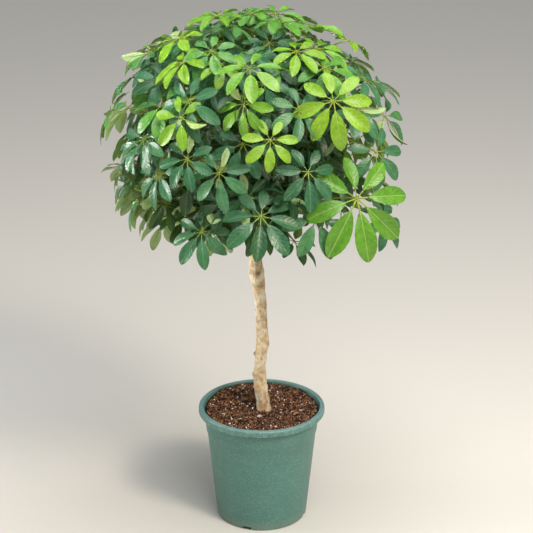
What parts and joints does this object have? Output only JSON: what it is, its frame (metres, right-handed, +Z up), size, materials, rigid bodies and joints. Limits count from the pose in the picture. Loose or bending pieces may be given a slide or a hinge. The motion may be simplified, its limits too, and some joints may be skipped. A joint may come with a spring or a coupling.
{
  "type": "potted umbrella plant",
  "caption": "Umbrella plant trained as a round-headed standard: dome of palmate leaves on a bare knobbly stem, in a round tapered nursery pot with a rolled rim.",
  "frame": {"origin": "middle of the pot's flat base, where it stands on the floor", "axes": "+Z up along the stem, -Y towards the plant's front, +X to the viewer's right"},
  "size_m": [0.5636, 0.531, 1.0146],
  "materials": {
    "pot_plastic": "grey-green moulded polypropylene with fine pale flecks and a soft sheen",
    "potting_mix": "dark coarse bark and peat mix with white perlite grains",
    "bark": "pale tan smooth bark with leaf scars and ochre patches",
    "mature_leaf": "leathery dark green with a waxy sheen and a paler matt underside",
    "young_leaf": "soft fresh lime green, slightly glossy"
  },
  "bodies": {
    "root": {"leafy_stem_01": "young_leaf", "leafy_stem_02": "mature_leaf", "leafy_stem_03": "mature_leaf", "leafy_stem_04": "mature_leaf", "leafy_stem_05": "mature_leaf", "leafy_stem_06": "mature_leaf", "leafy_stem_07": "mature_leaf", "leafy_stem_08": "mature_leaf", "leafy_stem_09": "mature_leaf", "leafy_stem_10": "mature_leaf", "leafy_stem_11": "mature_leaf", "leafy_stem_12": "mature_leaf", "leafy_stem_13": "mature_leaf", "leafy_stem_14": "mature_leaf", "leafy_stem_15": "mature_leaf", "leafy_stem_16": "mature_leaf", "leafy_stem_17": "mature_leaf", "leafy_stem_18": "young_leaf", "leafy_stem_19": "mature_leaf", "leafy_stem_20": "mature_leaf", "leafy_stem_21": "mature_leaf", "leafy_stem_22": "mature_leaf", "leafy_stem_23": "mature_leaf", "leafy_stem_24": "mature_leaf", "pot": "pot_plastic", "soil": "potting_mix", "trunk": "bark", "young_shoot_01": "young_leaf", "young_shoot_02": "young_leaf", "young_shoot_03": "young_leaf", "young_shoot_04": "young_leaf", "young_shoot_05": "young_leaf", "young_shoot_06": "young_leaf", "young_shoot_07": "young_leaf", "young_shoot_08": "young_leaf"}
  },
  "joints": []
}
